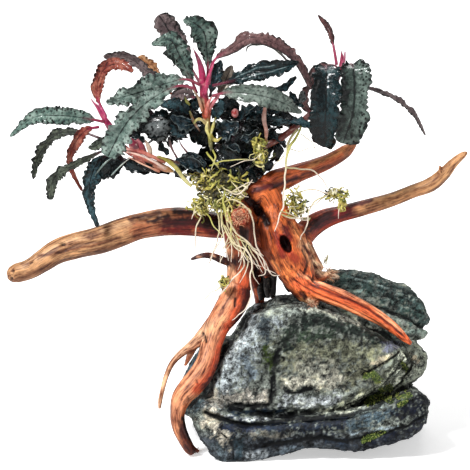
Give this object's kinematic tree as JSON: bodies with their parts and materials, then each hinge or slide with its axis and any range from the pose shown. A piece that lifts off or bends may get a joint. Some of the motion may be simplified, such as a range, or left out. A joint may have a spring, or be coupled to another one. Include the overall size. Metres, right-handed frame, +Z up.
{
  "type": "bucephalandra on driftwood",
  "caption": "Aquarium plant with long crinkled leaves, moss tufts and hanging roots, growing on branching driftwood that straddles a layered rock.",
  "frame": {"origin": "middle of the rock's flat underside", "axes": "+Z up, +X to the viewer's right, -Y towards the viewer, so the front of the plant faces -Y"},
  "size_m": [0.2773, 0.1218, 0.2645],
  "materials": {
    "rock": "matte",
    "driftwood": "satin",
    "leaf": "gloss",
    "shoot": "satin",
    "moss": "matte",
    "hanging_root": "matte"
  },
  "bodies": {
    "root": {"driftwood_back_root": "driftwood", "driftwood_left_leg": "driftwood", "driftwood_left_limb": "driftwood", "driftwood_left_side_root": "driftwood", "driftwood_left_twig": "driftwood", "driftwood_right_leg": "driftwood", "driftwood_right_lower_limb": "driftwood", "driftwood_right_upper_limb": "driftwood", "driftwood_stub": "driftwood", "driftwood_thin_back_root": "driftwood", "driftwood_trunk": "driftwood", "flower_bud": "shoot", "leaf_arching": "leaf", "leaf_back_orange": "leaf", "leaf_back_taupe": "leaf", "leaf_behind_shoot": "leaf", "leaf_big_front": "leaf", "leaf_big_left": "leaf", "leaf_dark_gloss": "leaf", "leaf_left_curl": "leaf", "leaf_left_edge": "leaf", "leaf_left_hanging": "leaf", "leaf_left_long": "leaf", "leaf_left_olive": "leaf", "leaf_left_red": "leaf", "leaf_left_tan": "leaf", "leaf_left_under": "leaf", "leaf_right_back": "leaf", "leaf_right_droop_left": "leaf", "leaf_right_droop_right": "leaf", "leaf_right_small": "leaf", "leaf_right_thin": "leaf", "leaf_right_upright": "leaf", "leaf_sage": "leaf", "leaf_small_brown": "leaf", "leaf_small_left": "leaf", "leaf_top_back": "leaf", "leaf_top_left": "leaf", "leaf_top_right": "leaf", "left_shoot": "shoot", "moss_fork": "moss", "moss_main": "moss", "moss_on_leg": "moss", "moss_on_limb": "moss", "moss_upper": "moss", "right_shoot": "shoot", "root_a": "hanging_root", "root_b": "hanging_root", "root_c": "hanging_root", "root_cross": "hanging_root", "root_d": "hanging_root", "root_e": "hanging_root", "root_h": "hanging_root", "root_long": "hanging_root", "root_over_limb": "hanging_root", "root_right": "hanging_root", "small_leaves": "leaf", "stone": "rock", "top_shoot": "shoot"}
  },
  "joints": []
}
